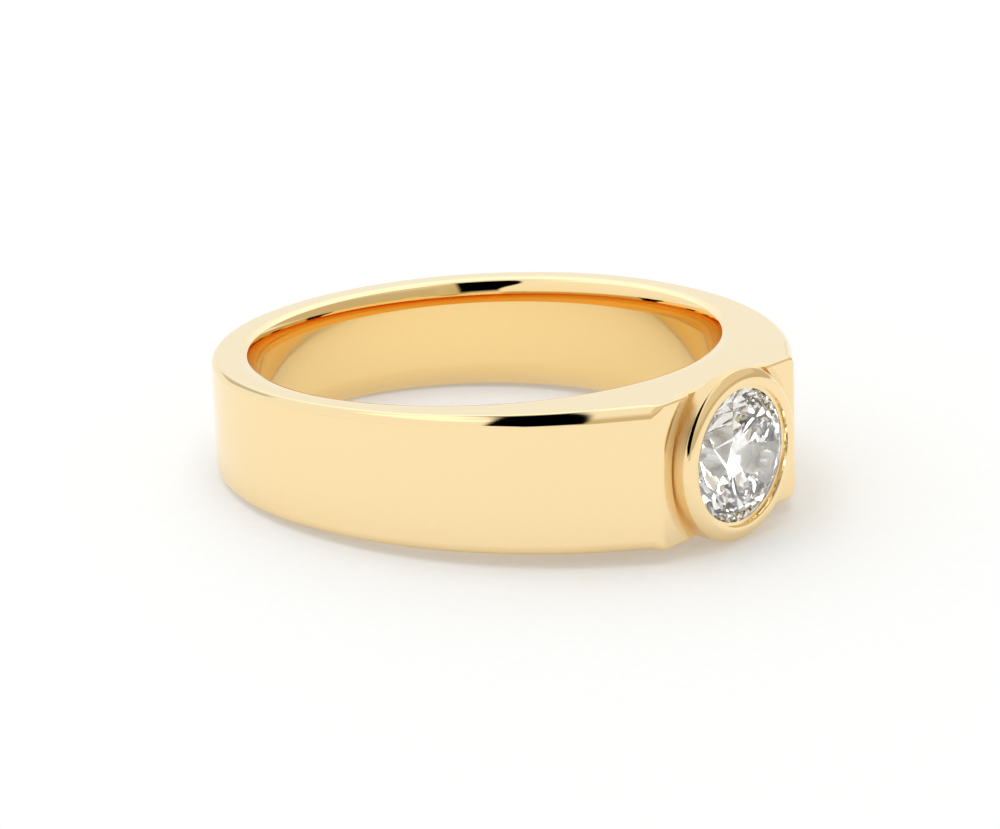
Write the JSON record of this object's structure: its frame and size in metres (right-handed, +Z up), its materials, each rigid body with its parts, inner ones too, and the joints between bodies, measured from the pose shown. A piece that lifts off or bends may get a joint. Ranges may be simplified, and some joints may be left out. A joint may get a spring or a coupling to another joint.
{
  "type": "diamond solitaire ring",
  "caption": "Flat-topped yellow gold band with a bezel-set round brilliant diamond, lying on its side.",
  "frame": {"origin": "centre of the finger hole", "axes": "+X towards the stone, +Y across the ring, +Z up from the surface that the ring lies on; the finger hole's axis leans 3 degrees from +Z, because the ring lies on its bezel and the foot of its back"},
  "size_m": [0.0224, 0.02, 0.0061],
  "materials": {
    "gold": "polished yellow gold",
    "diamond": "faceted and polished"
  },
  "bodies": {
    "root": {"gold_band": "gold", "diamond": "diamond"}
  },
  "joints": []
}
